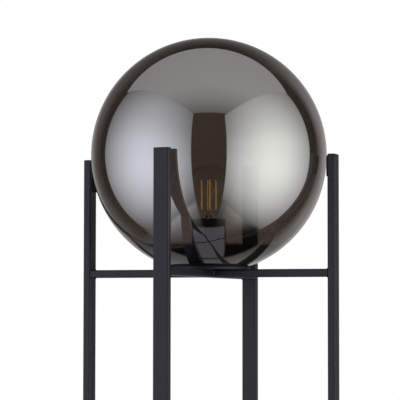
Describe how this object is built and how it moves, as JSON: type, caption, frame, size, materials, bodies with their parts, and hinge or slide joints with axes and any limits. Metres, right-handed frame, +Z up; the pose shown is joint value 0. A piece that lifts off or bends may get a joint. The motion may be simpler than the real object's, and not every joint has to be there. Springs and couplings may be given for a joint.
{
  "type": "globe floor lamp",
  "caption": "Tall floor lamp: a smoked mirror glass globe rests among slim black square-set tube legs joined by crossed bars, with a filament bulb inside.",
  "frame": {"origin": "on the floor, under the middle of the globe", "axes": "+Z up along the lamp's axis; the legs stand on the X and Y axes, front leg on -Y and back leg, with the cord outlet, on +Y"},
  "size_m": [0.3388, 0.3403, 1.4999],
  "materials": {
    "black_powder_coat": "satin black powder coat",
    "black_plastic": "moulded satin black",
    "foot_plastic": "moulded matt black",
    "cushion_rubber": "matt black foam rubber",
    "gasket_rubber": "matt black",
    "smoked_glass": "smoked half mirror, polished",
    "zinc_steel": "bright zinc plate",
    "holder_plastic": "moulded black",
    "carrier_ceramic": "unglazed white",
    "brass": "plain sheet brass",
    "nickel_shell": "nickel plate",
    "insulator_glass": "dark pressed glass",
    "solder_tip": "solder",
    "clear_glass": "clear, polished",
    "stem_glass": "clear",
    "amber_phosphor": "matt amber phosphor",
    "wire_steel": "drawn wire"
  },
  "bodies": {
    "frame": {"post_front": "black_powder_coat", "post_cap_front": "black_plastic", "foot_front": "foot_plastic", "pad_front": "cushion_rubber", "post_left": "black_powder_coat", "post_cap_left": "black_plastic", "foot_left": "foot_plastic", "pad_left": "cushion_rubber", "post_right": "black_powder_coat", "post_cap_right": "black_plastic", "foot_right": "foot_plastic", "pad_right": "cushion_rubber", "post_back": "black_powder_coat", "post_cap_back": "black_plastic", "foot_back": "foot_plastic", "pad_back": "cushion_rubber", "upper_through_bar": "black_powder_coat", "lower_through_bar": "black_powder_coat", "upper_half_bar_front": "black_powder_coat", "upper_half_bar_back": "black_powder_coat", "lower_half_bar_front": "black_powder_coat", "lower_half_bar_back": "black_powder_coat", "seat_plate": "black_powder_coat", "holder_cover": "black_powder_coat", "seat_gasket": "gasket_rubber", "cord_bush": "gasket_rubber", "weld_nut": "zinc_steel", "nipple": "zinc_steel", "toothed_washer": "zinc_steel", "lock_nut": "zinc_steel", "grub_screw": "zinc_steel", "terminal_screws": "zinc_steel", "holder_base": "holder_plastic", "holder_skirt": "holder_plastic", "contact_carrier": "carrier_ceramic", "centre_contact": "brass", "threaded_sleeve": "brass"},
    "globe": {"globe_shade": "smoked_glass"},
    "bulb_foot": {"bulb_contact_tip": "solder_tip", "bulb_insulator": "insulator_glass"},
    "bulb": {"bulb_cap": "nickel_shell", "bulb_glass": "clear_glass", "bulb_stem": "stem_glass", "bulb_filaments": "amber_phosphor", "bulb_wires": "wire_steel"}
  },
  "joints": [
    {"name": "globe_lift", "type": "slide", "parent": "frame", "child": "globe", "axis": [0, 0, 1], "range_m": [0, 0.16]},
    {"name": "bulb_rise", "type": "slide", "parent": "frame", "child": "bulb_foot", "axis": [0, 0, 1], "range_m": [0, 0.04]},
    {"name": "bulb_turn", "type": "hinge", "parent": "bulb_foot", "child": "bulb", "pos_m": [0, 0, 1.2329], "axis": [0, 0, 1], "range_deg": [0, 3960]}
  ],
  "couplings": [
    {"joint": "bulb_rise", "follows": "bulb_turn", "m_per_rad": 0.00057757}
  ]
}
